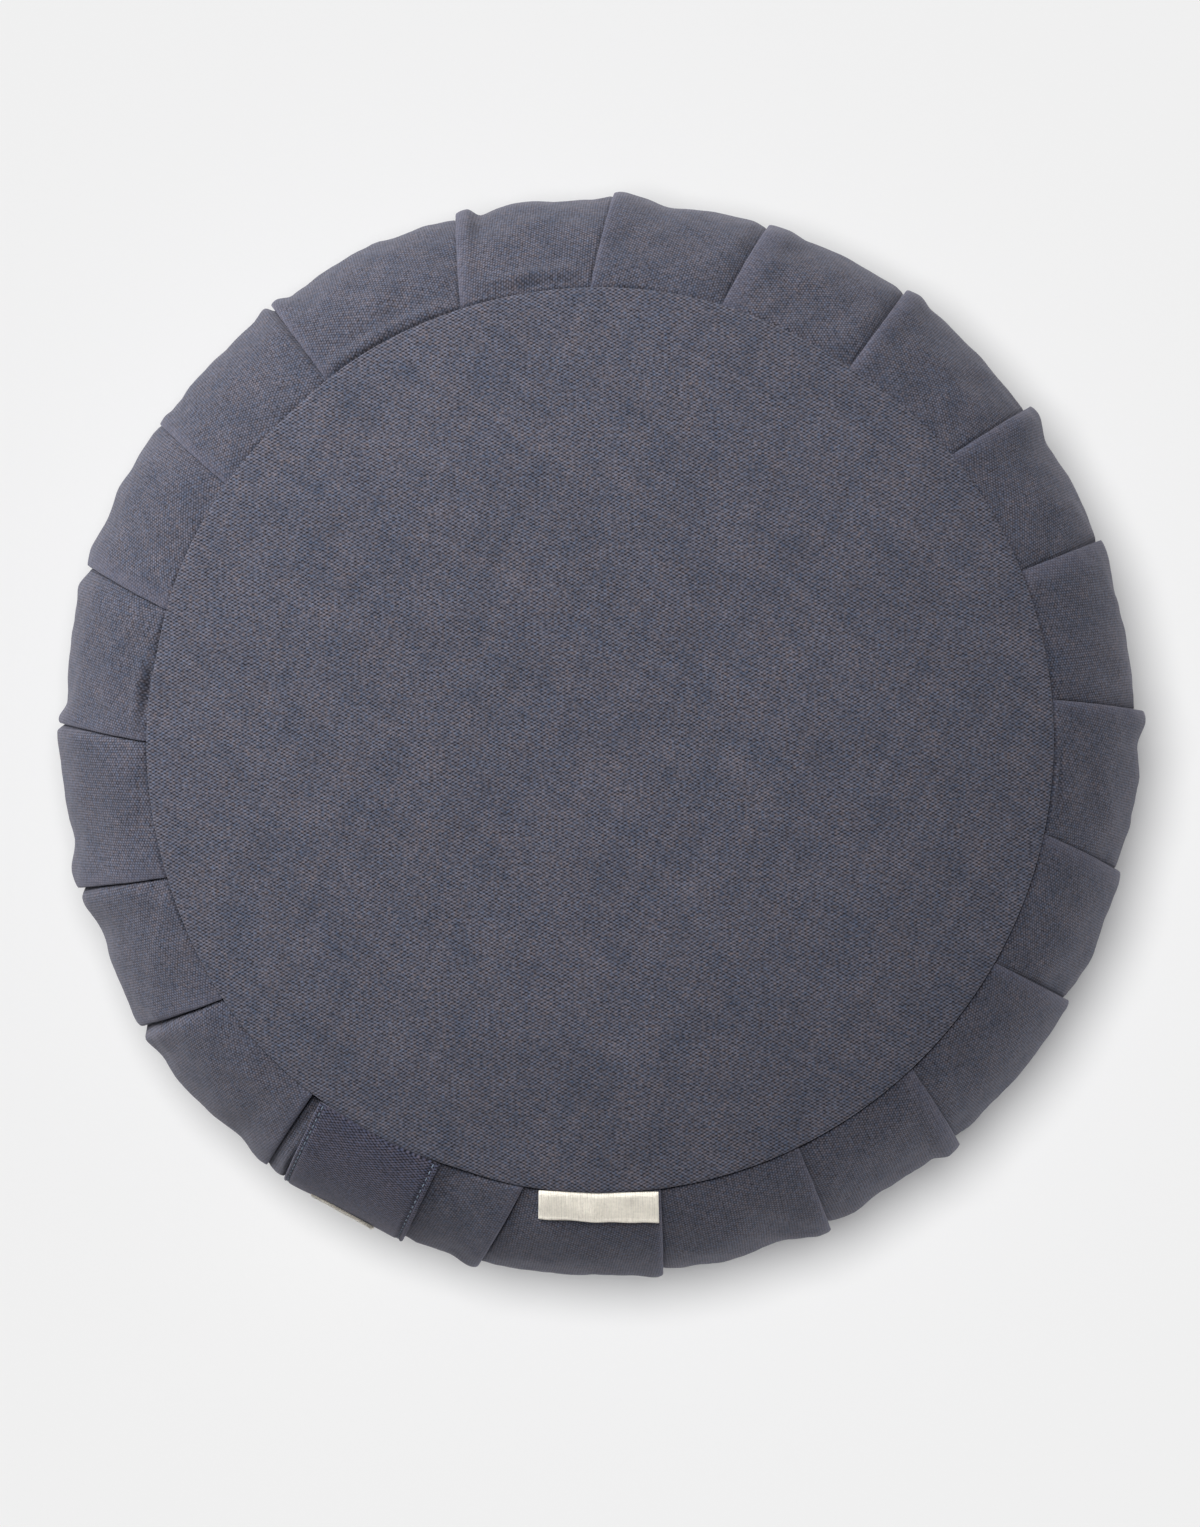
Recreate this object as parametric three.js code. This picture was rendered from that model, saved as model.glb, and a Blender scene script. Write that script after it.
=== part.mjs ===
// A round zafu: two cloth rounds joined by a side band laid in twenty one-way knife pleats, filled
// firm, with a carry strap over the side, a small patch on the strap and a tab in the top seam.
// Millimetres, +Z up. The cushion stands on its bottom round, centred on the Z axis. Places round
// the cushion are clock angles: degrees from +Y, clockwise as seen from above.

import * as THREE from "three";

// Whole cushion
const SIDE_RADIUS = 197.4; // smooth side of the band at its widest, between the pleats' lips
const SEAM_RADIUS = 164.2; // mean radius of both seams
const SEAM_SHIFT = { x: -0.7, y: -1.3 }; // the seam rings lie a little off the side's centre
const MIDDLE_Z = 55.5; // height of the widest line
const SEAM_DROP = 49.5; // from the widest line up to the top seam, and down to the bottom seam
const SEAM_LEAN = 22; // degrees by which the side still slopes as it leaves a seam
const CROWN = 20; // rise of the top round from its edge to its middle
const CROWN_POWER = 2.5; // flatter in the middle than a parabola
const FLAT_SHARE = 0.84; // of its radius, out to which the bottom round is flat on the floor
const CLOTH = 1.2; // thickness of both rounds
const GAP = 0.3; // between neighbouring pieces
const RIM_STAND = 1.05; // outer face of a round above the side's smooth line at the seam
const SEAM_VALLEY = { depth: 1, width: 2.5 }; // the band dips where it is sewn down

// Knife pleats
const TUCK = 5; // how far each section runs on under the next one's lip
const BOTTOM_DRIFT = 0.35; // a fold leans from its seam angle to its rim angle, and part of it stays below
const FULLNESS = 0.7; // below 1, the pleats swell soon after a seam
const SIDE_ARC = 126.4; // length of the side from seam to seam, over its curve

// Where the seam is pulled in (by < 0) or let out, each a soft wave round the ring.
const SEAM_PULLS = [
  { at: 32, half: 14, by: -1.5 },
  { at: 85, half: 45, by: 0.8 },
  { at: 198, half: 5, by: -0.7 },
  { at: 230, half: 15, by: 1.6 },
  { at: 281, half: 6, by: -0.7 },
  { at: 316, half: 8, by: -0.9 },
];

// One row for each section of the band, from its own lip to the next lip, clockwise. seam and rim
// are the clock angles of its fold at the top seam and at the widest line. The other heights are
// above the smooth side: at the seam the lip and the low end, and at the widest line the lip, three
// places behind it (each with its degrees from the fold) and the low end that goes under the next lip.
const SECTION_COLUMNS = [
  "seam", "rim", "seamLip", "seamEnd", "lip", "lipAt",
  "neck", "neckAt", "belly", "bellyAt", "tail", "tailAt", "end",
];
const SECTIONS = [
  [-1.35, 1.4, 0.6, -0.6, 3.7, 0.6, -0.2, 6.1, 0.4, 11.0, 0.9, 15.0, -0.2],
  [15.65, 18.2, 0.5, -0.6, 2.1, 2.0, 0.6, 4.8, 0.9, 10.0, 1.3, 14.8, 0.6],
  [34.0, 34.4, 0.6, -0.6, 3.2, 1.3, 1.7, 3.6, 0.4, 9.0, -0.2, 14.6, -0.4],
  [51.25, 52.4, 0.6, -0.6, 3.0, 1.1, -1.0, 4.6, -0.1, 11.0, -0.8, 14.6, -1.3],
  [68.5, 68.5, 0.4, -0.7, 1.2, 2.0, -0.3, 5.5, -0.4, 11.0, -0.4, 17.0, -0.7],
  [85.35, 87.25, 0.6, -0.6, 3.3, 1.1, 0.4, 4.0, 1.1, 7.8, 0.2, 12.0, -2.0],
  [102.4, 104.6, 0.4, -0.7, 1.2, 1.4, 0.0, 5.4, 1.1, 9.4, -0.2, 12.4, -1.7],
  [119.85, 119.0, 0.5, -0.6, 1.0, 1.0, 1.0, 4.5, 0.7, 9.0, -0.2, 17.0, -0.4],
  [136.9, 140.1, 0.6, -0.6, 3.5, 0.6, 0.1, 2.9, -0.4, 7.9, 1.2, 12.6, 0.0],
  [154.35, 155.25, 0.6, -0.6, 3.6, 0.6, -0.4, 5.9, 1.3, 10.8, 0.6, 15.6, -0.3],
  [172.5, 173.4, 0.5, -0.6, 2.5, 0.6, 1.2, 3.1, 1.1, 9.0, 1.0, 15.0, 0.4],
  [189.75, 193.1, 0.6, -4.0, 3.3, 0.7, 0.9, 3.4, 0.1, 22.9, 3.1, 24.1, -5.0],
  [218.85, 218.6, 0.6, -0.6, 3.3, 0.7, 1.0, 4.2, 2.6, 8.4, 4.6, 18.3, 0.9],
  [235.25, 238.15, 0.6, -0.6, 3.4, 0.8, 1.3, 6.8, 0.2, 10.8, 2.9, 15.0, 0.8],
  [252.0, 253.9, 0.6, -0.6, 3.9, 1.4, 0.0, 5.4, 1.4, 11.0, 3.0, 16.7, 0.5],
  [269.35, 271.5, 0.6, -0.6, 2.8, 0.5, 0.0, 2.4, 1.4, 10.5, 3.0, 14.4, 0.6],
  [286.25, 288.5, 0.6, -0.6, 3.2, 1.6, 1.1, 5.5, 2.5, 8.5, 2.3, 15.4, 0.2],
  [303.9, 305.35, 0.5, -0.6, 2.4, 0.8, 1.2, 2.2, 1.9, 13.6, 3.6, 16.5, 1.2],
  [322.4, 322.9, 0.6, -0.6, 4.0, 0.6, 1.2, 2.6, 2.7, 10.5, 1.7, 16.2, 0.8],
  [341.85, 344.5, 0.6, -0.6, 3.9, 0.9, 0.5, 3.0, 2.2, 7.5, 1.6, 14.4, 0.2],
].map((row) => Object.fromEntries(row.map((value, k) => [SECTION_COLUMNS[k], value])));

// The points round one fold, in order: how far in under the lip (share of TUCK), how high (share of
// the drop from the lip down to the floor it lies on), and the place in mm where the layers part
// again, unfolded, under the rounds.
const FOLD_POINTS = [
  { under: 0.5, height: -0.04, unfolded: -0.9 },
  { under: 1.0, height: 0.0, unfolded: -0.6 },
  { under: 0.5, height: 0.12, unfolded: -0.3 },
  { under: 0.0, height: 0.28, unfolded: 0.0 },
  { under: 0.04, height: 0.76, unfolded: 0.3 },
];
const FACE_STEP = 2.8; // degrees between points on a section's open face, at most
const BEHIND_SEAM = 4; // the unfolded ring lies this far inside the seam
const LAST_UNFOLDED = -1.2; // place of a section's end there, before the next fold
// At the seam a section falls this share of the way from its lip to its end within the first stretch
// of its width, and the rest from the last stretch on.
const SEAM_FALL = { first: 0.3, share: 0.55, last: 0.8 };

// Hollows (by < 0) and puffs on the side near the top seam: clock angle and half width in degrees,
// distance below the seam and half height in mm. They start this far from the seam.
const PUCKER_START = 3;
const PUCKERS = [
  { at: 23, half: 5, below: 12, tall: 7, by: -0.9 },
  { at: 58, half: 8, below: 6, tall: 4, by: -0.8 },
  { at: 96, half: 4, below: 5, tall: 4, by: -1.4 },
  { at: 97, half: 5, below: 16, tall: 7, by: 1.0 },
  { at: 228, half: 5, below: 10, tall: 7, by: 0.9 },
  { at: 277, half: 5, below: 6, tall: 4, by: -1.6 },
  { at: 278, half: 6, below: 17, tall: 7, by: 1.0 },
  { at: 333, half: 8, below: 7, tall: 4, by: -1.6 },
  { at: 334, half: 9, below: 18, tall: 8, by: 1.2 },
  { at: 351, half: 6, below: 6, tall: 3.5, by: -1.1 },
];

// Rows of the side, as shares of the way from the top seam to the bottom seam.
const SIDE_ROWS = [0, 0.025, 0.06, 0.105, 0.165, 0.24, 0.33, 0.42, 0.51, 0.6, 0.7, 0.8, 0.88, 0.945, 1];

// Carry strap
const STRAP_AT = { seam: 209.1, rim: 208.6 }; // clock angle of its centre line
const STRAP_WIDTH = 49;
const STRAP_FACE = 1.2; // its outer face above the smooth side
const STRAP_THICK = 2.2;
const STRAP_END = { face: 0.95, thick: 1.2, reach: 4 }; // pressed thin where it enters a seam
const STRAP_MARGIN = 3.7; // the band is held down this far beside the strap as well

// Patch on the strap, and the tab in the top seam
const PATCH = { width: 26, top: 0.43, bottom: 0.66, thick: 1 };
const TAB = { at: 180.3, width: 43.5, start: 0.55, length: 11, thick: 1, clear: 0.6 };

const COLOURS = { duck: 0x5b5c68, duckStrap: 0x565762, naturalCotton: 0xd9d3c4 };

const radians = THREE.MathUtils.degToRad;
const { lerp, smoothstep } = THREE.MathUtils;
const LEAN = radians(SEAM_LEAN);

function bell(distance, half) {
  return Math.exp(-((distance / half) ** 2));
}

// Difference between two clock angles, from -180 to 180.
function turn(from, to) {
  return ((((to - from) % 360) + 540) % 360) - 180;
}

function ringPoint(r, clock, z) {
  return new THREE.Vector3(r * Math.sin(radians(clock)), r * Math.cos(radians(clock)), z);
}

function seamRadius(clock) {
  const shift = SEAM_SHIFT.x * Math.sin(radians(clock)) + SEAM_SHIFT.y * Math.cos(radians(clock));
  const pulls = SEAM_PULLS.map((pull) => pull.by * bell(turn(pull.at, clock), pull.half));
  return pulls.reduce((sum, by) => sum + by, SEAM_RADIUS + shift);
}

// The smooth side at a clock angle and a share of the way down: radius, height and outward normal.
function smoothSide(clock, share) {
  const angle = LEAN + share * (Math.PI - 2 * LEAN);
  const seam = seamRadius(clock);
  const reach = (SIDE_RADIUS - seam) / (1 - Math.sin(LEAN));
  const rise = SEAM_DROP / Math.cos(LEAN);
  const r = seam + reach * (Math.sin(angle) - Math.sin(LEAN));
  const z = MIDDLE_Z + rise * Math.cos(angle);
  const normal = new THREE.Vector2(rise * Math.sin(angle), reach * Math.cos(angle)).normalize();
  return { r, z, normal };
}

function sidePoint(clock, share, height) {
  const base = smoothSide(clock, share);
  const r = base.r + height * base.normal.x;
  const z = base.z + height * base.normal.y;
  return ringPoint(r, clock, z);
}

// How far a fold has moved from its seam angle to its rim angle: all the way at the widest line, and
// part of the way where it reaches the bottom seam.
function drift(share) {
  const swing = Math.sin(Math.PI * share);
  return share < 0.5 ? swing : lerp(BOTTOM_DRIFT, 1, swing);
}

// Share of the widest line's heights that a place on the side has: none at the seams.
function fullness(share) {
  return Math.sin(Math.PI * share) ** FULLNESS;
}

// Closed surface over rings of points, clockwise round the way from the first ring to the last. An end
// ring of many points is a flat loop, and is closed by joining its two halves across.
function closedSurface(rings) {
  const starts = [0];
  rings.forEach((ring, k) => starts.push(starts[k] + ring.length));
  const last = rings.length - 1;
  const index = [
    ...acrossLoop(starts[0], rings[0].length),
    ...acrossLoop(starts[last], rings[last].length).reverse(),
  ];
  for (let k = 0; k < last; k += 1) {
    index.push(...betweenRings(rings[k], rings[k + 1], starts[k], starts[k + 1]));
  }
  const geometry = new THREE.BufferGeometry().setFromPoints(rings.flat());
  geometry.setIndex(index);
  geometry.computeVertexNormals();
  return geometry;
}

// Triangles between two rings. Rings of one length join point to point. Others step along whichever
// ring has the nearer next point, by clock angle, and a ring of one point stays where it is.
function betweenRings(upper, lower, upperStart, lowerStart) {
  const matched = upper.length === lower.length;
  const along = (ring) => ring.map((point) => 180 + turn(180, clockOf(point) - clockOf(ring[0])));
  const [upperAngles, lowerAngles] = matched ? [[], []] : [along(upper), along(lower)];
  const [upperSteps, lowerSteps] = [upper, lower].map((ring) => (ring.length > 1 ? ring.length : 0));
  const index = [];
  let [i, j] = [0, 0];
  while (i < upperSteps || j < lowerSteps) {
    const nearer = (upperAngles[i + 1] ?? 360) <= (lowerAngles[j + 1] ?? 360);
    const stepUpper = matched ? i <= j : j >= lowerSteps || (i < upperSteps && nearer);
    const here = upperStart + (i % upper.length);
    const below = lowerStart + (j % lower.length);
    if (stepUpper) {
      i += 1;
      index.push(here, upperStart + (i % upper.length), below);
    } else {
      j += 1;
      index.push(here, lowerStart + (j % lower.length), below);
    }
  }
  return index;
}

function acrossLoop(start, count) {
  const index = [];
  for (let near = 0; near < count / 2 - 1; near += 1) {
    const far = count - 1 - near;
    const corners = [near + 1, near, far, near + 1, far, far - 1];
    index.push(...corners.map((corner) => start + corner));
  }
  return index;
}

function clockOf(point) {
  return THREE.MathUtils.radToDeg(Math.atan2(point.x, point.y));
}

// Degrees and heights along a section's open face at the widest line.
function openKnots(section, span) {
  return [
    [section.lipAt, section.lip],
    [section.neckAt, section.neck],
    [section.bellyAt, section.belly],
    [section.tailAt, section.tail],
    [span, section.end],
  ];
}

// Height of a section's open face at the widest line, some degrees behind its fold: smooth steps
// through the lip, the three places behind it and the low end.
function openFace(section, degrees, span) {
  const knots = openKnots(section, span);
  const next = Math.max(1, knots.findIndex(([at]) => at >= degrees));
  const [[fromAt, from], [toAt, to]] = [knots[next - 1], knots[next]];
  return lerp(from, to, smoothstep(degrees, fromAt, toAt));
}

function strapClock(share) {
  return lerp(STRAP_AT.seam, STRAP_AT.rim, drift(share));
}

// Highest that the band may stand under the strap and close beside it.
function strapCeiling(clock, share, base) {
  const away = turn(strapClock(share), clock);
  const aside = base.r * Math.sin(radians(away));
  if (Math.abs(away) > 90 || Math.abs(aside) > STRAP_WIDTH / 2 + STRAP_MARGIN) {
    return Infinity;
  }
  const { face, thick } = strapLayer(share);
  return face - thick - GAP + strapBow(aside, base);
}

// Heights of the strap's outer face and its thickness: thin at the seams.
function strapLayer(share) {
  const fromSeam = SIDE_ARC * Math.min(share, 1 - share);
  const full = smoothstep(fromSeam, 0, STRAP_END.reach);
  return {
    face: lerp(STRAP_END.face, STRAP_FACE, full),
    thick: lerp(STRAP_END.thick, STRAP_THICK, full),
  };
}

// The strap is straight across where it stands upright, so its edges stand off the round side.
function strapBow(aside, base) {
  const sag = base.r - Math.sqrt(base.r ** 2 - aside ** 2);
  return sag * base.normal.x ** 2;
}

// Height over the smooth side, with the seam's valley, the puckers and the strap's pressure.
function settled(height, clock, share) {
  const base = smoothSide(clock, share);
  const below = SIDE_ARC * share;
  const fromSeam = SIDE_ARC * Math.min(share, 1 - share);
  const puckers = PUCKERS.map(
    (fold) => fold.by * bell(turn(fold.at, clock), fold.half) * bell(below - fold.below, fold.tall),
  );
  const valley = SEAM_VALLEY.depth * bell(fromSeam, SEAM_VALLEY.width);
  const awayFromSeam = smoothstep(fromSeam, 0, PUCKER_START);
  const shaped = height - valley + awayFromSeam * puckers.reduce((sum, by) => sum + by, 0);
  return Math.min(shaped, strapCeiling(clock, share, base));
}

function foldClock(section, share) {
  return lerp(section.seam, section.rim, drift(share));
}

// One row of the side: every section's fold and open face, clockwise.
function pleatedRow(share) {
  const full = fullness(share);
  return SECTIONS.flatMap((section, k) => {
    const before = SECTIONS[(k + SECTIONS.length - 1) % SECTIONS.length];
    const after = SECTIONS[(k + 1) % SECTIONS.length];
    const fold = foldClock(section, share);
    const span = turn(fold, foldClock(after, share));
    const rimSpan = turn(section.rim, after.rim);
    const lip = lerp(section.seamLip, section.lip, full);
    const floor = lerp(before.seamEnd, before.end, full);
    const perDegree = smoothSide(fold, share).r * radians(1);
    const points = FOLD_POINTS.map((point) => {
      const clock = fold + (point.under * TUCK) / perDegree;
      const height = floor + point.height * (lip - floor);
      return sidePoint(clock, share, settled(height, clock, share));
    });
    for (const degrees of openFacePlaces(section, rimSpan)) {
      const clock = fold + (degrees * span) / rimSpan;
      const height = faceHeight(section, degrees, rimSpan, share);
      points.push(sidePoint(clock, share, settled(height, clock, share)));
    }
    return points;
  });
}

// Share of the fall from lip to low end that a place on a section has at the seam.
function seamFall(degrees, span) {
  const early = smoothstep(degrees, 0, SEAM_FALL.first * span);
  const late = smoothstep(degrees, SEAM_FALL.last * span, span);
  return lerp(late, early, SEAM_FALL.share);
}

// Height of a section's open face on any row, some degrees (at the widest line) behind its fold.
function faceHeight(section, degrees, rimSpan, share) {
  const atSeam = lerp(section.seamLip, section.seamEnd, seamFall(degrees, rimSpan));
  return lerp(atSeam, openFace(section, degrees, rimSpan), fullness(share));
}

// Degrees behind the fold of the points on an open face: its knots, and even steps between them.
function openFacePlaces(section, span) {
  const knots = openKnots(section, span).map(([at]) => at);
  const between = knots.slice(1).flatMap((at, k) => {
    const steps = Math.ceil((at - knots[k]) / FACE_STEP);
    return Array.from({ length: steps }, (_, step) => lerp(knots[k], at, step / steps));
  });
  return [...between, span];
}

// The same points as a pleated row, unfolded on a ring inside the seam, at the heights given.
function unfoldedRow(share, heightAt) {
  return SECTIONS.flatMap((section, k) => {
    const after = SECTIONS[(k + 1) % SECTIONS.length];
    const fold = foldClock(section, share);
    const span = turn(fold, foldClock(after, share));
    const rimSpan = turn(section.rim, after.rim);
    const perDegree = (SEAM_RADIUS - BEHIND_SEAM) * radians(1);
    const clocks = FOLD_POINTS.map((point) => fold + point.unfolded / perDegree);
    for (const degrees of openFacePlaces(section, rimSpan)) {
      const clock = fold + (degrees * span) / rimSpan;
      clocks.push(Math.min(clock, fold + span + LAST_UNFOLDED / perDegree));
    }
    return clocks.map((clock) => {
      const r = seamRadius(clock) - BEHIND_SEAM;
      return ringPoint(r, clock, heightAt(r, clock));
    });
  });
}

// Outer face of the top round: highest in the middle, still sloping a little at its edge.
function topFace(r, clock) {
  const share = Math.min(r / seamRadius(clock), 1);
  return MIDDLE_Z + SEAM_DROP + RIM_STAND + CROWN * (1 - share ** CROWN_POWER);
}

// Outer face of the bottom round: flat on the floor, then rising to its seam.
function bottomFace(r, clock) {
  const share = THREE.MathUtils.clamp(r / seamRadius(clock), FLAT_SHARE, 1);
  return (MIDDLE_Z - SEAM_DROP - RIM_STAND) * ((share - FLAT_SHARE) / (1 - FLAT_SHARE)) ** 2;
}

const ROUND_STEPS = 72; // points round a ring of a round

function roundRing(share, heightAt) {
  return Array.from({ length: ROUND_STEPS }, (_, k) => {
    const clock = SECTIONS[0].seam + (k * 360) / ROUND_STEPS;
    const r = share * seamRadius(clock);
    return ringPoint(r, clock, heightAt(r, clock));
  });
}

function pole(z) {
  return [new THREE.Vector3(0, 0, z)];
}

function pleatedBody() {
  const underTop = (r, clock) => topFace(r, clock) - CLOTH - GAP;
  const overBottom = (r, clock) => bottomFace(r, clock) + CLOTH + GAP;
  const hiddenRings = [0.35, 0.7];
  return closedSurface([
    pole(underTop(0, 0)),
    ...hiddenRings.map((share) => roundRing(share, underTop)),
    unfoldedRow(0, underTop),
    ...SIDE_ROWS.map(pleatedRow),
    unfoldedRow(1, overBottom),
    roundRing(FLAT_SHARE, overBottom),
    pole(overBottom(0, 0)),
  ]);
}

// A cloth round: its outer face out to a rolled edge, and back along its inner face.
function clothRound(outerAt, inward) {
  const edge = [
    { share: 0.98, down: 0 },
    { share: 0.993, down: 0.22 },
    { share: 1, down: 0.6 },
    { share: 0.993, down: 0.92 },
    { share: 0.98, down: 1 },
  ];
  const shares = [0.3, 0.55, 0.75, FLAT_SHARE, 0.92];
  const layer = (down) => (r, clock) => outerAt(r, clock) + inward * down * CLOTH;
  const rings = [
    pole(layer(0)(0, 0)),
    ...shares.map((share) => roundRing(share, layer(0))),
    ...edge.map((stop) => roundRing(stop.share, layer(stop.down))),
    ...[...shares].reverse().map((share) => roundRing(share, layer(1))),
    pole(layer(1)(0, 0)),
  ];
  return closedSurface(inward < 0 ? rings : rings.reverse());
}

// A flat strip bent over the side. pointAt gives the place of a share across, a share along and a
// height from 0 on its inner face to 1 on its outer face.
function strip(across, along, pointAt) {
  const outer = (place) => across.map((share) => pointAt(share, place, 1));
  const inner = (place) => [...across].reverse().map((share) => pointAt(share, place, 0));
  return closedSurface(along.map((place) => [...outer(place), ...inner(place)]));
}

function evenShares(count) {
  return Array.from({ length: count + 1 }, (_, k) => k / count);
}

// Place on the strap or on a layer over it: mm aside of its centre line, share down the side, height.
function overStrap(aside, share, height) {
  const middle = smoothSide(strapClock(share), share);
  const clock = strapClock(share) + THREE.MathUtils.radToDeg(Math.asin(aside / middle.r));
  const base = smoothSide(clock, share);
  return sidePoint(clock, share, height + strapBow(aside, base));
}

function carryStrap() {
  const inSeam = (GAP + 0.1) / SIDE_ARC;
  const along = SIDE_ROWS.map((share) => THREE.MathUtils.clamp(share, inSeam, 1 - inSeam));
  return strip(evenShares(6), along, (across, share, level) => {
    const { face, thick } = strapLayer(share);
    return overStrap((across - 0.5) * STRAP_WIDTH, share, face - (1 - level) * thick);
  });
}

function strapPatch() {
  const along = evenShares(6).map((part) => lerp(PATCH.top, PATCH.bottom, part));
  return strip(evenShares(4), along, (across, share, level) => {
    const { face } = strapLayer(share);
    return overStrap((across - 0.5) * PATCH.width, share, face + GAP + level * PATCH.thick);
  });
}

// The tab lies on the section whose lip is just before it, from the top seam outward.
function seamTab() {
  const host = SECTIONS.findLast((section) => section.seam < TAB.at);
  const after = SECTIONS[SECTIONS.indexOf(host) + 1];
  const along = evenShares(5).map((part) => (TAB.start + part * TAB.length) / SIDE_ARC);
  return strip(evenShares(10), along, (across, share, level) => {
    const base = smoothSide(TAB.at, share);
    const clock = TAB.at + THREE.MathUtils.radToDeg(((across - 0.5) * TAB.width) / base.r);
    const rimSpan = turn(host.rim, after.rim);
    const span = turn(foldClock(host, share), foldClock(after, share));
    const degrees = Math.max(host.lipAt, (turn(foldClock(host, share), clock) * rimSpan) / span);
    const height = settled(faceHeight(host, degrees, rimSpan, share), clock, share);
    return sidePoint(clock, share, height + TAB.clear + level * TAB.thick);
  });
}

function piece(name, geometry, color) {
  const material = new THREE.MeshStandardMaterial({ color, roughness: 0.92, metalness: 0 });
  const mesh = new THREE.Mesh(geometry, material);
  mesh.name = name;
  return mesh;
}

const zafu = new THREE.Group();
zafu.add(
  piece("pleated_body", pleatedBody(), COLOURS.duck),
  piece("top_panel", clothRound(topFace, -1), COLOURS.duck),
  piece("bottom_panel", clothRound(bottomFace, 1), COLOURS.duck),
  piece("carry_handle", carryStrap(), COLOURS.duckStrap),
  piece("handle_patch", strapPatch(), COLOURS.naturalCotton),
  piece("seam_label", seamTab(), COLOURS.naturalCotton),
);

// The lips and the strap make the outline uneven, so the whole is centred by its own box.
const middle = new THREE.Box3().setFromObject(zafu).getCenter(new THREE.Vector3());
zafu.position.set(-middle.x, -middle.y, 0);

export default zafu;
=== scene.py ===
"""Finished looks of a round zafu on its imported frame: the pleated side, the two rounds, the carry
strap with its patch, the tab in the top seam, and the stage. Blender works in metres; the tables and
formulas here are in millimetres, and places round the cushion are clock angles, in degrees from +Y,
clockwise as seen from above."""

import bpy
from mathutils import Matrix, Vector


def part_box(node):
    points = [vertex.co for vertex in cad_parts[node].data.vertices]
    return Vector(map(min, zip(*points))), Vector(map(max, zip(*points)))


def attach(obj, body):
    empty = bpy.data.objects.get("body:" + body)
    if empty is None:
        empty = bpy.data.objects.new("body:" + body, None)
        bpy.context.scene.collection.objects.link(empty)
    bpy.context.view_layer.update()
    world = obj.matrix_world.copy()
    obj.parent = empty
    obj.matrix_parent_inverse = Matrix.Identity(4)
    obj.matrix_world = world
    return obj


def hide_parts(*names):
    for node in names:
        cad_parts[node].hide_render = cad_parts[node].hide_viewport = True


bl_info = {
    "name": "Zafu Dressing",
    "version": (1, 0, 0),
    "blender": (4, 5, 0),
    "location": "3D View > Sidebar > Zafu",
    "description": "Builds the cloth pieces of a pleated round meditation cushion on its frame",
    "category": "Object",
}

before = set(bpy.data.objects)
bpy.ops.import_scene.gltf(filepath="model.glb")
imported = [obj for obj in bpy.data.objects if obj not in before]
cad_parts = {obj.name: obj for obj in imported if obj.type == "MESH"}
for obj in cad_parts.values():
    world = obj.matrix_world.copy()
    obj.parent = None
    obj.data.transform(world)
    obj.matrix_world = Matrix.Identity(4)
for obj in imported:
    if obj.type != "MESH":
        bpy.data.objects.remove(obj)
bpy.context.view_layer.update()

import math

import bpy
import numpy as np
from bpy.props import FloatProperty, FloatVectorProperty, PointerProperty

BODY = "root"
MM = 0.001

# Whole cushion: its solids' sizes, with a little more lean and a flatter crown
SIDE_RADIUS = 197.4  # smooth side of the band at its widest, between the pleats' lips
SEAM_RADIUS = 164.2  # mean radius of both seams
SEAM_SHIFT = (-0.7, -1.3)  # the seam rings lie a little off the side's centre
MIDDLE_Z = 55.5  # height of the widest line
SEAM_DROP = 49.5  # from the widest line up to the top seam, and down to the bottom seam
LEAN = math.radians(25)  # slope of the side as it leaves a seam
CROWN_POWER = 2.9  # flatter in the middle than a parabola
FLAT_SHARE = 0.84  # of its radius, out to which the bottom round is flat on the floor
CLOTH = 1.2  # thickness of both rounds
GAP = 0.3  # between neighbouring pieces
RIM_STAND = 1.05  # outer face of a round above the side's smooth line at the seam
RIM_INSET = 1.7  # inward half axis of a round's rolled rim
SIDE_ARC = 126.6  # length of the side from seam to seam, over its curve
BOTTOM_DRIFT = 0.35  # a fold leans from its seam angle to its rim angle, and part stays below
FULLNESS = 0.7  # below 1, the pleats swell soon after a seam

# Where the seam is pulled in (by < 0) or let out: clock angle, half width in degrees, mm
SEAM_PULLS = np.array([
    (32, 14, -1.5), (85, 45, 0.8), (198, 5, -0.7), (230, 15, 1.6), (281, 6, -0.7), (316, 8, -0.9),
])

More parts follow.
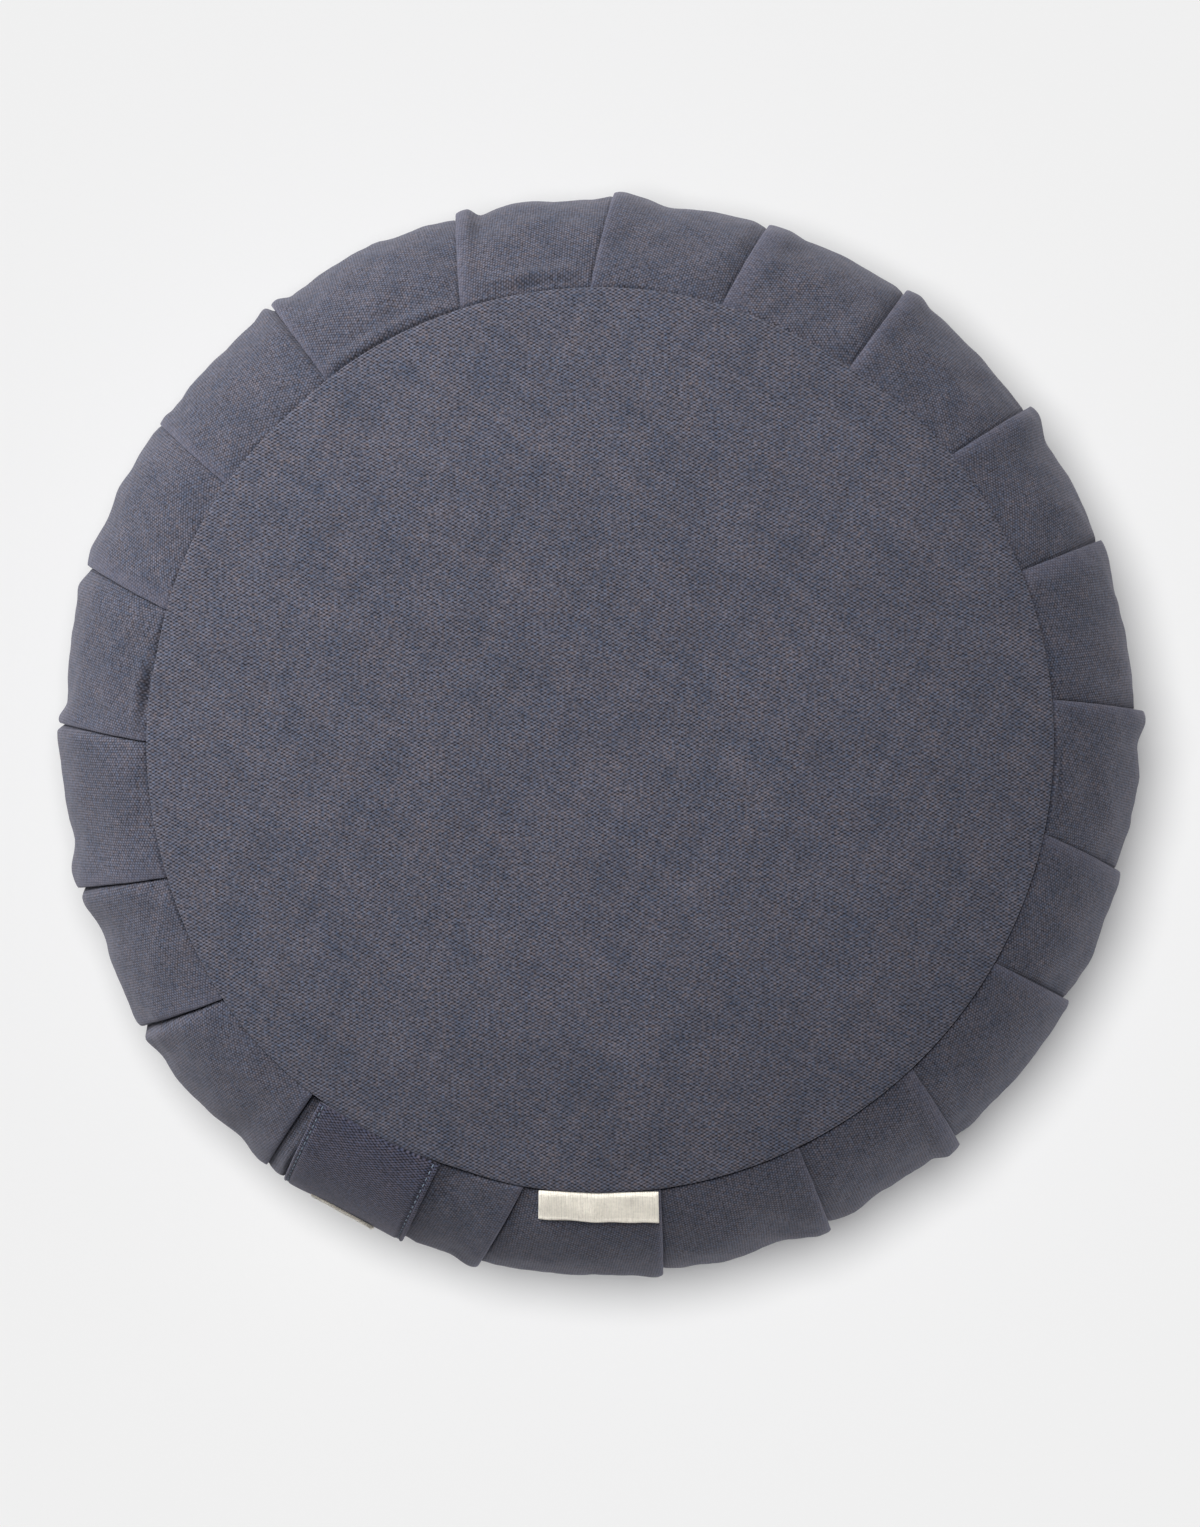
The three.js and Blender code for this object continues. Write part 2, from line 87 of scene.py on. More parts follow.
# One row for each section of the band, from its own lip to the next lip. seam and rim are the clock
# angles of its fold at the top seam and at the widest line. The other heights are above the smooth
# side: at the seam the lip and the low end, and at the widest line the lip, three places behind it
# (each with its degrees from the fold) and the low end that goes under the next lip.
SECTION_COLUMNS = "seam rim seam_lip seam_end lip lip_at neck neck_at belly belly_at tail tail_at end".split()
SECTION_ROWS = np.array([
    (-1.35, 1.4, 0.6, -0.6, 3.7, 0.6, -0.2, 6.1, 0.4, 11.0, 0.9, 15.0, -0.2),
    (15.65, 18.2, 0.5, -0.6, 2.1, 2.0, 0.6, 4.8, 0.9, 10.0, 1.3, 14.8, 0.6),
    (34.0, 34.4, 0.6, -0.6, 3.2, 1.3, 1.7, 3.6, 0.4, 9.0, -0.2, 14.6, -0.4),
    (51.25, 52.4, 0.6, -0.6, 3.0, 1.1, -1.0, 4.6, -0.1, 11.0, -0.8, 14.6, -1.3),
    (68.5, 68.5, 0.4, -0.7, 1.2, 2.0, -0.3, 5.5, -0.4, 11.0, -0.4, 17.0, -0.7),
    (85.35, 87.25, 0.6, -0.6, 3.3, 1.1, 0.4, 4.0, 1.1, 7.8, 0.2, 12.0, -2.0),
    (102.4, 104.6, 0.4, -0.7, 1.2, 1.4, 0.0, 5.4, 1.1, 9.4, -0.2, 12.4, -1.7),
    (119.85, 119.4, 0.5, -0.6, 1.0, 1.0, 1.0, 4.5, 0.7, 9.0, -0.2, 17.0, -0.4),
    (136.9, 138.6, 0.6, -0.6, 3.6, 1.5, 0.0, 3.5, -0.4, 9.4, 1.2, 14.1, 0.0),
    (154.35, 154.95, 0.6, -0.6, 3.6, 0.6, -0.2, 6.5, 1.3, 11.1, 0.6, 15.9, -0.3),
    (172.5, 173.4, 0.5, -0.6, 2.5, 0.6, 1.2, 3.1, 1.1, 9.0, 1.0, 15.0, 0.4),
    (189.75, 193.1, 0.6, -2.8, 3.3, 0.7, 0.9, 3.4, 2.0, 22.2, 3.0, 23.4, 2.2),
    (218.85, 218.0, 0.6, -0.6, 3.3, 0.7, 1.0, 4.2, 2.6, 8.4, 4.6, 18.3, 0.9),
    (235.25, 237.8, 0.6, -0.6, 3.4, 0.8, 1.3, 6.8, 0.2, 10.8, 2.9, 15.0, 0.8),
    (252.0, 253.9, 0.6, -0.6, 3.9, 1.4, 0.0, 5.4, 1.4, 11.0, 3.0, 16.7, 0.5),
    (269.35, 271.5, 0.6, -0.6, 2.8, 0.5, 0.0, 2.4, 1.4, 10.5, 3.0, 14.4, 0.6),
    (286.25, 288.5, 0.6, -0.6, 3.2, 1.6, 1.1, 5.5, 2.5, 8.5, 2.3, 15.4, 1.7),
    (303.9, 305.35, 0.5, -0.6, 2.4, 0.8, 1.2, 2.2, 1.2, 14.4, 3.4, 16.5, 1.2),
    (322.4, 322.6, 0.6, -0.6, 4.0, 0.6, 1.2, 2.6, 2.7, 10.5, 1.7, 16.2, 0.8),
    (341.85, 344.5, 0.6, -0.6, 3.9, 1.2, 0.2, 2.6, 2.0, 7.5, 0.6, 13.4, 2.0),
])
SECTIONS = dict(zip(SECTION_COLUMNS, SECTION_ROWS.T))
# At the seam a section falls this share of the way within the first stretch of its width, and the
# rest from the last stretch on.
SEAM_FALL = {"first": 0.3, "share": 0.55, "last": 0.8}
SECTION_CLOTH = 70.0  # mm of cloth from the middle of one section to the middle of the next
EARLY_CREST = 0.8  # above 0, a lip stands out from its own section only near the widest line
# A section sinks towards the next lip between a seam and the widest line, and has a narrow groove
# along that lip: mm, and degrees.
LATE_DIP = {"depth": 1.3, "width": 2.2}
CREASE = {"depth": 0.9, "width": 0.45}

# Hollows (by < 0) and puffs on the side: clock angle and half width in degrees, then distance below
# the top seam, half height and depth in mm
PUCKERS = np.array([
    (23, 5, 12, 7, -0.9), (38, 3, 15, 9, -0.6), (58, 8, 6, 4, -0.8), (95.5, 3, 3.0, 0.8, -1.0),
    (95.5, 3, 1.6, 0.8, 1.0), (96, 4.5, 8, 4, 0.6), (228, 5, 10, 7, 0.9), (275.8, 3, 1.3, 1.7, -2.4),
    (275.5, 3.6, 5, 2.2, 1.5), (333, 9, 3.4, 1.8, 1.1), (332, 9, 8, 3, -0.7), (334, 9, 17, 7, 0.8),
    (351, 6, 2.6, 1.6, -0.8), (351, 6, 6.8, 2.2, 1.3), (350, 6, 11.5, 3, -0.5),
    (234.2, 1.8, 63, 30, -2.0), (312, 3.6, 63, 30, 0.9),
])
# How much deeper (or shallower, by < 0) the band dips at the top seam than elsewhere: clock angle,
# half width in degrees, and share
SEAM_DIPS = np.array([
    (35, 16, -0.75), (228, 10, -0.5), (277, 5, 0.5), (303, 16, -0.85), (336, 9, 0.5), (351, 6, 0.4),
])

# Carry strap, its patch, and the tab in the top seam
STRAP_AT = {"seam": 209.1, "rim": 208.6}  # clock angle of its centre line
STRAP_WIDTH = 49.0
STRAP_FACE, STRAP_THICK = 1.2, 2.2  # outer face above the smooth side, and thickness
STRAP_END = {"face": 0.95, "thick": 1.2, "reach": 4.0}  # pressed thin where it enters a seam
STRAP_MARGINS = (3.7, -0.3)  # the band is held down this far past the strap's two edges, clockwise last
STRAP_PUSH = 1.1  # how far the section beside it pushes the strap out, towards its clockwise edge
STITCH_LINES = (-STRAP_WIDTH / 2 + 2.1, STRAP_WIDTH / 2 - 1.7)  # from the strap's centre line
STITCH = {"length": 3.0, "between": 0.35, "thick": 0.5}
PATCH = {"width": 26.0, "thick": 1.0, "rib": 1.0}
PATCH_SPAN = (0.43, 0.66)  # shares of the way down the side
TAB = {"at": 180.3, "width": 43.5, "start": 0.55, "length": 11.0, "thick": 1.0, "clear": 0.6}
TAB_HOST = 10  # the section that the tab lies on

# Points of the grids: from seam to seam, on a section's open face, and round the cloth rounds
SIDE_ROWS, FACE_POINTS, ROUND_COLUMNS = 64, 46, 360

# The picture, and where its middle is from the side's centre, in pixels
PICTURE_TALL = 1527
PICTURE_MIDDLE = (-1.0, -26.5)


def smoothstep(x, low=0.0, high=1.0):
    x = np.clip((x - low) / (high - low), 0, 1)
    return x * x * (3 - 2 * x)


def lerp(a, b, share):
    return a + (b - a) * share


def bell(distance, half):
    return np.exp(-((distance / half) ** 2))


def crowded(count):
    """Steps from 0 to 1 that lie closer together at both ends: t less a sine wave of it."""
    t = np.linspace(0, 1, count)
    return t - 0.75 * np.sin(2 * math.pi * t) / (2 * math.pi)


def turn(start, end):
    """Difference between two clock angles, from -180 to 180."""
    return (end - start + 540) % 360 - 180


def ring_point(r, clock, z):
    """Points at radius r, clock angle and height z."""
    r, clock, z = np.broadcast_arrays(r, np.radians(clock), z)
    return np.stack([r * np.sin(clock), r * np.cos(clock), z], -1)


def seam_radius(clock):
    """Radius of both seams: the mean, the rings' shift, and a soft wave for each pull."""
    a = np.radians(clock)
    pulls = (by * bell(turn(at, clock), half) for at, half, by in SEAM_PULLS)
    return SEAM_RADIUS + SEAM_SHIFT[0] * np.sin(a) + SEAM_SHIFT[1] * np.cos(a) + sum(pulls)


def smooth_side(clock, share):
    """The smooth side at a share of the way down: part of an ellipse, which leaves both seams at the
    lean's slope. Gives radius, height, and the outward and upward parts of the normal."""
    angle = LEAN + share * (math.pi - 2 * LEAN)
    seam = seam_radius(clock)
    reach = (SIDE_RADIUS - seam) / (1 - math.sin(LEAN))
    rise = SEAM_DROP / math.cos(LEAN)
    r = seam + reach * (np.sin(angle) - math.sin(LEAN))
    z = MIDDLE_Z + rise * np.cos(angle)
    out, up = rise * np.sin(angle), reach * np.cos(angle)
    length = np.hypot(out, up)
    return r, z, out / length, up / length


def side_point(clock, share, height):
    """Points a height above the smooth side, along its normal."""
    r, z, out, up = smooth_side(clock, share)
    return ring_point(r + height * out, clock, z + height * up)


def drift(share):
    """How far a fold has moved from its seam angle to its rim angle: half a sine wave, whose lower
    half ends part of the way."""
    swing = np.sin(math.pi * share)
    return np.where(share < 0.5, swing, lerp(BOTTOM_DRIFT, 1, swing))


def fullness(share):
    return np.sin(math.pi * np.clip(share, 0, 1)) ** FULLNESS


def frame_place():
    """The solids were centred by their own box. The top round's edge is the same ring here, so the
    difference between the two boxes' middles is where the frame put the cushion, in mm."""
    clock = SECTIONS["seam"][0] + np.arange(72) * 5
    ring = ring_point(seam_radius(clock), clock, 0)[:, :2]
    low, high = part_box("top_panel")
    middle = (np.array(low)[:2] + np.array(high)[:2]) / 2 / MM
    return np.array([*(middle - (ring.min(0) + ring.max(0)) / 2), 0])


PLACE = frame_place()


def lumps(points, seed, longest, shortest, waves=36):
    """Soft unevenness from about -1 to 1: the mean of sine waves in every direction, whose lengths
    run evenly, in octaves, from the longest to the shortest, and which weaken with their length."""
    rng = np.random.default_rng(seed)
    direction = rng.normal(size=(waves, 3))
    direction /= np.linalg.norm(direction, axis=1, keepdims=True)
    length = longest * (shortest / longest) ** rng.random(waves)
    phase = rng.random(waves) * 2 * math.pi
    weight = (length / longest) ** 0.7
    total = np.zeros(points.shape[:-1])
    for way, long, start, part in zip(direction, length, phase, weight):
        total += part * np.sin(points @ (way * 2 * math.pi / long) + start)
    return total / np.sqrt((weight ** 2).sum()) / 1.2


# ---- the pleated side


def strap_clock(share):
    return lerp(STRAP_AT["seam"], STRAP_AT["rim"], drift(share))


def strap_layer(share):
    """Heights of the strap's outer face, and its thickness: thin at the seams."""
    from_seam = SIDE_ARC * np.minimum(share, 1 - share)
    full = smoothstep(from_seam, 0, STRAP_END["reach"])
    return lerp(STRAP_END["face"], STRAP_FACE, full), lerp(STRAP_END["thick"], STRAP_THICK, full)


def strap_bow(aside, r, out):
    """The strap is straight across where it stands upright: how far it is off the round side."""
    return (r - np.sqrt(np.maximum(r * r - aside * aside, 0))) * out * out


def settled(height, clock, share, valley, uneven):
    """Height over the smooth side with the seam's valley, the puckers, the unevenness of the filling
    and the strap's pressure."""
    r, z, out, _ = smooth_side(clock, share)
    below = SIDE_ARC * share
    from_seam = SIDE_ARC * np.minimum(share, 1 - share)
    puckers = sum(
        by * bell(turn(at, clock), half) * bell(below - down, tall)
        for at, half, down, tall, by in PUCKERS
    )
    dips = 1 + sum(by * bell(turn(at, clock), half) for at, half, by in SEAM_DIPS)
    free = smoothstep(from_seam, 0, 1.5)
    soft = uneven * lumps(ring_point(r, clock, z), 5, 28, 6)
    shaped = height - valley * dips * bell(from_seam, 0.85) + free * (puckers + soft)
    away = turn(strap_clock(share), clock)
    aside = r * np.sin(np.radians(np.clip(away, -90, 90)))
    face, thick = strap_layer(share)
    free_at = STRAP_WIDTH / 2 + np.where(aside < 0, *STRAP_MARGINS)
    beside = smoothstep(np.abs(aside), free_at, free_at + 2)
    ceiling = face - thick - GAP + strap_bow(aside, r, out) + 12 * beside
    return np.where(np.abs(away) > 30, shaped, np.minimum(shaped, ceiling))


def open_face(s, degrees, rim_span):
    """Heights of sections at degrees behind their folds, at the seam and at the widest line. At the
    seam they fall in two smooth steps, and at the widest line by smooth steps from each of their
    places to the next."""
    early = smoothstep(degrees, 0, SEAM_FALL["first"] * rim_span)
    late = smoothstep(degrees, SEAM_FALL["last"] * rim_span, rim_span)
    at_seam = lerp(s["seam_lip"], s["seam_end"], lerp(late, early, SEAM_FALL["share"]))
    places = [s["lip_at"], s["neck_at"], s["belly_at"], s["tail_at"], rim_span]
    heights = [s["lip"], s["neck"], s["belly"], s["tail"], s["end"]]
    at_rim = heights[0] + 0 * degrees
    for low, high, start, end in zip(heights, heights[1:], places, places[1:]):
        at_rim = at_rim + (high - low) * smoothstep(degrees, start, end)
    return at_seam, at_rim


def fold_profile(drop, reach, thick, tuck):
    """Cross-section of one fold, clockwise along the cloth, as mm in under the lip and mm above the
    floor that the lip lies on: along the floor to the bottom of the tuck, back under the lip, and
    round its nose, a half ellipse with a long upper quarter, up to the lip's crest. Also gives how far
    along the cloth each point is from the crest, and how near it is to the folded edge."""
    body = np.minimum(0.74 * drop, thick)[..., None]
    drop, reach = drop[..., None], np.maximum(reach[..., None], 0.5 * thick)
    under = drop - body
    floor = np.array([0.06, 0.3, 0.62, 0.9])
    into = tuck * floor + 0 * drop
    back = np.array([1.0, 0.8, 0.5, 0.25])
    inward = lerp(0.5 * body, tuck, back)
    roof = lerp(under, 0.12 * np.minimum(drop, 1), back ** 0.6)
    low = np.radians(np.array([-75.0, -50.0, -25.0, 0.0]))
    low_u = 0.5 * body * (1 - np.cos(low))
    low_h = under + body / 2 * (1 + np.sin(low))
    high = np.radians(np.array([14.0, 28.0, 42.0, 56.0, 68.0, 78.0]))
    high_u = reach * (1 - np.cos(high))
    high_h = under + body / 2 * (1 + np.sin(high))
    u = np.concatenate([into, inward, low_u, high_u], -1)
    h = np.concatenate([0 * into, roof, low_h, high_h], -1)
    along = np.concatenate([into, -reach - inward, -reach + 0 * low_h, high_u - reach], -1)
    round_nose = 1 - 0.6 * np.sin(high) ** 4 + 0 * drop
    edge = np.concatenate([0 * into, 0.3 * (1 - back) + 0 * drop, 1 + 0 * low_h, round_nose], -1)
    own = np.concatenate([np.zeros(len(floor)), np.ones(len(back) + len(low) + len(high))])
    return u, h, along, edge, own


def face_heights(full):
    """Every section's open face, for each row's fullness: the degrees of its points behind its fold and
    their heights. Lips stand out less between the seams and the widest line, and each section sinks
    towards the next lip and has a groove along it. Also gives how far its low end is lowered by both."""
    s = {k: v[:, None] for k, v in SECTIONS.items()}
    width = (np.roll(s["rim"], -1, 0) - s["rim"]) % 360
    degrees = lerp(s["lip_at"], width, crowded(FACE_POINTS))
    at_seam, at_rim = open_face(s, degrees, width)
    crest = np.maximum(s["lip"] - s["neck"], 0) * (1 - smoothstep(degrees, s["lip_at"], s["neck_at"]))
    sink = LATE_DIP["depth"] * smoothstep(degrees, width - LATE_DIP["width"], width)
    groove = smoothstep(degrees, width - CREASE["width"], width)
    between = full - full ** 4
    creased = CREASE["depth"] * smoothstep(full, 0, 0.25) * (1 - 0.6 * full)
    height = lerp(at_seam[None], at_rim[None], full[..., None])
    height = height - (crest * EARLY_CREST + sink) * between[..., None]
    return degrees, height - groove * creased[..., None], LATE_DIP["depth"] * between + creased


def pleated_grid(rows, shape):
    """The side on a grid of rows down and columns clockwise: each section's fold profile, and its open
    face. Gives the clock angle, height, cloth place in mm (along the band, and below the seam) and
    nearness to a folded edge of every point."""
    s = {k: v[None, :] for k, v in SECTIONS.items()}
    share = rows[:, None]
    full = fullness(share)
    fold = lerp(s["seam"], s["rim"], drift(share))
    span = (np.roll(fold, -1, 1) - fold) % 360
    rim_span = (np.roll(s["rim"], -1, 1) - s["rim"]) % 360
    r = smooth_side(fold, share)[0]
    per_degree = r * math.radians(1)

    degrees, face_height, lowered = face_heights(full)
    face_clock = fold[..., None] + degrees[None] * (span / rim_span)[..., None]

    floor = lerp(np.roll(s["seam_end"], 1, 1), np.roll(s["end"], 1, 1), full) - lowered
    drop = np.maximum(face_height[..., 0] - floor, 0.7)
    reach = s["lip_at"] * span / rim_span * per_degree
    u, h, along, edge, own = fold_profile(drop, reach, shape.fold_thickness / MM, shape.tuck / MM)
    fold_clock = fold[..., None] + u / per_degree[..., None]
    fold_height = floor[..., None] + h

    clock = np.concatenate([fold_clock, face_clock], -1)
    height = np.concatenate([fold_height, face_height], -1)
    middle = fold + span * 0.5
    local = smooth_side(clock, share[..., None])[0] * math.radians(1)
    face_place = (face_clock - middle[..., None]) * local[..., len(own):]
    before = np.roll(middle, 1, 1)
    before = np.where(before > middle, before - 360, before)
    floor_place = (fold_clock - before[..., None]) * local[..., :len(own)]
    fold_place = np.where(own, face_place[..., :1] + along, floor_place - SECTION_CLOTH)
    index = np.arange(len(SECTION_ROWS))[None, :, None] * SECTION_CLOTH
    cloth = np.concatenate([fold_place, face_place], -1) + index
    past_lip = (face_clock - face_clock[..., :1]) * local[..., len(own):]
    # Nearness to a folded edge, fading behind each lip; the band's material paints a highlight there.
    near = np.concatenate([edge, 0.4 * np.exp(-past_lip / 1.6)], -1)
    down = np.broadcast_to(SIDE_ARC * share[..., None], clock.shape)
    return [grid.reshape(len(rows), -1) for grid in (clock, height, cloth, down, near)]


def grid_faces(rows, columns, start=0):
    """Quads between neighbouring rows of a closed ring of columns, outward for rows that run down and
    columns that run clockwise."""
    r, c = np.meshgrid(np.arange(rows - 1), np.arange(columns), indexing="ij")
    a, b = r * columns + c, r * columns + (c + 1) % columns
    return np.stack([a, b, b + columns, a + columns], -1).reshape(-1, 4) + start


def pole_faces(ring, columns, pole, upward):
    """Triangles between a ring, from its first point's number, and a pole."""
    c = np.arange(columns)
    a, b, p = ring + c, ring + (c + 1) % columns, np.full(columns, pole)
    return np.stack([b, a, p] if upward else [a, b, p], -1)


def end_faces(rings, columns, upward, start=0):
    """Triangles that close the first and the last ring to the two poles that follow the rings."""
    last, pole = start + (rings - 1) * columns, start + rings * columns
    first = pole_faces(start, columns, pole, upward)
    return np.concatenate([first, pole_faces(last, columns, pole + 1, not upward)])


def mesh_object(name, points, quads, triangles=(), layers=None):
    """A smooth-shaded object at the origin from points in mm and arrays of quads and triangles.
    layers are values on the points: a name, and an array of one number or three for each."""
    triangles = np.asarray(triangles, int).reshape(-1, 3)
    quads = np.asarray(quads, int).reshape(-1, 4)
    mesh = bpy.data.meshes.new(name)
    mesh.vertices.add(len(points))
    mesh.vertices.foreach_set("co", ((points + PLACE) * MM).astype(np.float32).ravel())
    corners = np.concatenate([quads.ravel(), triangles.ravel()])
    mesh.loops.add(len(corners))
    mesh.loops.foreach_set("vertex_index", corners.astype(np.int32))
    starts = np.concatenate([np.arange(len(quads)) * 4, len(quads) * 4 + np.arange(len(triangles)) * 3])
    mesh.polygons.add(len(starts))
    mesh.polygons.foreach_set("loop_start", starts.astype(np.int32))
    mesh.update(calc_edges=True)
    mesh.polygons.foreach_set("use_smooth", np.ones(len(starts), bool))
    for layer, values in (layers or {}).items():
        wide = values.ndim == 2
        made = mesh.attributes.new(layer, "FLOAT_VECTOR" if wide else "FLOAT", "POINT")
        made.data.foreach_set("vector" if wide else "value", values.astype(np.float32).ravel())
    mesh.validate()
    made = bpy.data.objects.new(name, mesh)
    bpy.context.scene.collection.objects.link(made)
    return made


def unfolded_ring(share, columns, height_at):
    """A ring inside the seam with the same number of points as a row of the side, its layers laid
    out side by side in order."""
    fold = lerp(SECTIONS["seam"], SECTIONS["rim"], drift(np.array(share)))
    span = (np.roll(fold, -1) - fold) % 360
    each = columns // len(fold)
    clock = (fold[:, None] + span[:, None] * np.arange(each) / each).ravel()
    r = seam_radius(clock) - 4
    return ring_point(r, clock, height_at(r, clock))


def top_face(r, clock, crown):
    """Outer face of the top round: highest in the middle, falling with a power of the radius."""
    share = np.minimum(r / seam_radius(clock), 1)
    return MIDDLE_Z + SEAM_DROP + RIM_STAND + crown * (1 - share ** CROWN_POWER)


def bottom_face(r, clock):
    """Outer face of the bottom round: flat on the floor, then rising as a square to its seam."""
    share = np.clip(r / seam_radius(clock), FLAT_SHARE, 1)
    return (MIDDLE_Z - SEAM_DROP - RIM_STAND) * ((share - FLAT_SHARE) / (1 - FLAT_SHARE)) ** 2


def pleated_side(shape):
    """The band with its filling as one closed form: hidden caps under the rounds, and the side."""
    rows = crowded(SIDE_ROWS)
    clock, height, cloth, down, near = pleated_grid(rows, shape)
    share = np.broadcast_to(rows[:, None], clock.shape)
    height = settled(height, clock, share, shape.seam_valley / MM, shape.unevenness / MM)
    side = side_point(clock, share, height)
    columns = clock.shape[1]
    crown = shape.crown / MM

    def top(r, at):
        return top_face(r, at, crown) - CLOTH - GAP

    def bottom(r, at):
        return bottom_face(r, at) + CLOTH + GAP

    above = unfolded_ring(0.0, columns, top)
    below = unfolded_ring(1.0, columns, bottom)
    rings = [0.5 * above * [1, 1, 0], above, *side, below, FLAT_SHARE * below * [1, 1, 0]]
    for ring, face_at in ((rings[0], top), (rings[-1], bottom)):
        x, y = ring[:, 0], ring[:, 1]
        ring[:, 2] = face_at(np.hypot(x, y), np.degrees(np.arctan2(x, y)))
    poles = [(0, 0, top(0, 0)), (0, 0, bottom(0, 0))]
    points = np.concatenate([*rings, poles])
    place = np.zeros((len(points), 3))
    place[2 * columns:-2 * columns - 2, 0] = cloth.ravel()
    place[2 * columns:-2 * columns - 2, 1] = down.ravel()
    # Mask of the painted highlight along the folded edges, kept in the folded_edge layer.
    rib_wear_and_edge_highlight = np.zeros(len(points))
    rib_wear_and_edge_highlight[2 * columns:-2 * columns - 2] = near.ravel()
    quads, triangles = grid_faces(len(rings), columns), end_faces(len(rings), columns, True)
    return mesh_object("pleated_side", points, quads, triangles, {"cloth_place": place, "folded_edge": rib_wear_and_edge_highlight})


# ---- the rounds


def cloth_round(name, face_at, inward, uneven, seed):
    """A round of cloth: its outer face on rings that close up towards the edge, a rolled rim (a half
    ellipse as thick as the cloth), and its inner face, one cloth's thickness in."""
    columns = ROUND_COLUMNS
    clock = np.arange(columns) * 360 / columns
    flat = np.concatenate([np.linspace(0.02, 0.9, 46), np.linspace(0.91, 0.985, 14)])
    roll = np.radians(np.arange(-72, 73, 18))
    edge = seam_radius(clock)
    radius = [share * edge for share in flat]
    down = [0.0] * len(flat)
    for angle in roll:
        radius.append(edge - RIM_INSET * (1 - np.cos(angle)))
        down.append(0.5 * (1 + np.sin(angle)))
    radius += [share * edge for share in flat[::-6]]
    down += [1.0] * len(flat[::-6])
    rings = []
    for r, depth in zip(radius, down):
        at = ring_point(r, clock, face_at(r, clock) + inward * depth * CLOTH)
        fade = smoothstep(edge - r, 0.0, 8.0)
        at[:, 2] += uneven * fade * lumps(at * [1, 1, 0], seed, 75, 16)
        rings.append(at)
    poles = [(0, 0, face_at(0, 0)), (0, 0, face_at(0, 0) + inward * CLOTH)]
    points = np.concatenate([*rings, poles])
    quads, triangles = grid_faces(len(rings), columns), end_faces(len(rings), columns, True)
    if inward > 0:
        quads, triangles = quads[:, ::-1], triangles[:, ::-1]
    return mesh_object(name, points, quads, triangles)


# ---- strap, patch and tab


def over_strap(aside, share, height):
    """Place on the strap: mm aside of its centre line, share down the side, height above the side."""
    middle = smooth_side(strap_clock(share), share)[0]
    clock = strap_clock(share) + np.degrees(np.arcsin(aside / middle))
    r, _, out, _ = smooth_side(clock, share)
    return side_point(clock, share, height + strap_bow(aside, r, out))


def strip_rings(across, along, place_at):
    """A flat strip as a closed ring of points for each place along it: out over its outer face, round
    a half-round edge, back over its inner face and round the other edge."""
    bend = np.radians(np.array([60, 30, 0, -30, -60]))
    a = np.concatenate([across, np.full(5, across[-1]), across[::-1], np.full(5, across[0])])
    push = np.concatenate([0 * across, np.cos(bend), 0 * across, -np.cos(bend)])
    rise = 0.5 * np.sin(bend)
    level = np.concatenate([1 + 0 * across, 0.5 + rise, 0 * across, 0.5 - rise])
    return place_at(a[None, :], push[None, :], level[None, :], along[:, None])


def strip_object(name, across, along, edge, place_at):
    """A closed mesh of a strip whose edges bulge by some mm, with each end closed to its own middle,
    and with its place on the cloth: mm aside of its middle, and mm below the top seam."""
    rings = strip_rings(across, along, place_at)
    aside = strip_rings(across, along, lambda at, push, level, share: at + edge * push + 0 * share)
    down = SIDE_ARC * along[:, None] + 0 * aside
    place = np.stack([aside, down, 0 * down], -1)
    count, columns = rings.shape[:2]
    poles = rings[[0, -1]].mean(1)
    points = np.concatenate([rings.reshape(-1, 3), poles])
    place = np.concatenate([place.reshape(-1, 3), np.zeros((2, 3))])
    quads, triangles = grid_faces(count, columns)[:, ::-1], end_faces(count, columns, False)
    return mesh_object(name, points, quads, triangles, {"cloth_place": place})


def strap_height(aside, share):
    """Outer face of the strap: a dip along each line of topstitching, deeper at each stitch's end, a
    welt beside it, soft waves between, and a swelling over the section that pushes it out."""
    face, _ = strap_layer(share)
    down = SIDE_ARC * share
    deep = 0.75 + 0.1 * np.cos(down * 2 * math.pi / STITCH["length"])
    dips = sum(bell(aside - line, 0.6) * deep for line in STITCH_LINES)
    dips = dips - 0.6 * bell(STRAP_WIDTH / 2 - np.abs(aside), 0.9)
    waves = 0.12 * np.sin(down / 7.3 + 0.8) * np.cos(aside / 9.0) + 0.08 * np.sin(down / 3.9 + aside / 14)
    pushed = STRAP_PUSH * bell(aside - 20, 10) * np.sin(math.pi * share) ** 2
    return face - dips + waves + pushed


def carry_strap():
    """The strap from seam to seam, with rolled edges."""
    start = (GAP + 0.1) / SIDE_ARC
    along = lerp(start, 1 - start, np.linspace(0, 1, 110))
    edge = 1.0
    across = np.linspace(-STRAP_WIDTH / 2 + edge, STRAP_WIDTH / 2 - edge, 61)

    def place_at(aside, push, level, share):
        face, thick = strap_layer(share)
        outer = strap_height(aside, share)
        return over_strap(aside + push * edge, share, lerp(face - thick, outer, level))

    return strip_object("carry_strap", across, along, edge, place_at)


def on_strap(aside, down, up):
    """Place mm off the strap's outer face, mm below the top seam."""
    share = down / SIDE_ARC
    return over_strap(aside, share, strap_height(aside, share) + up)


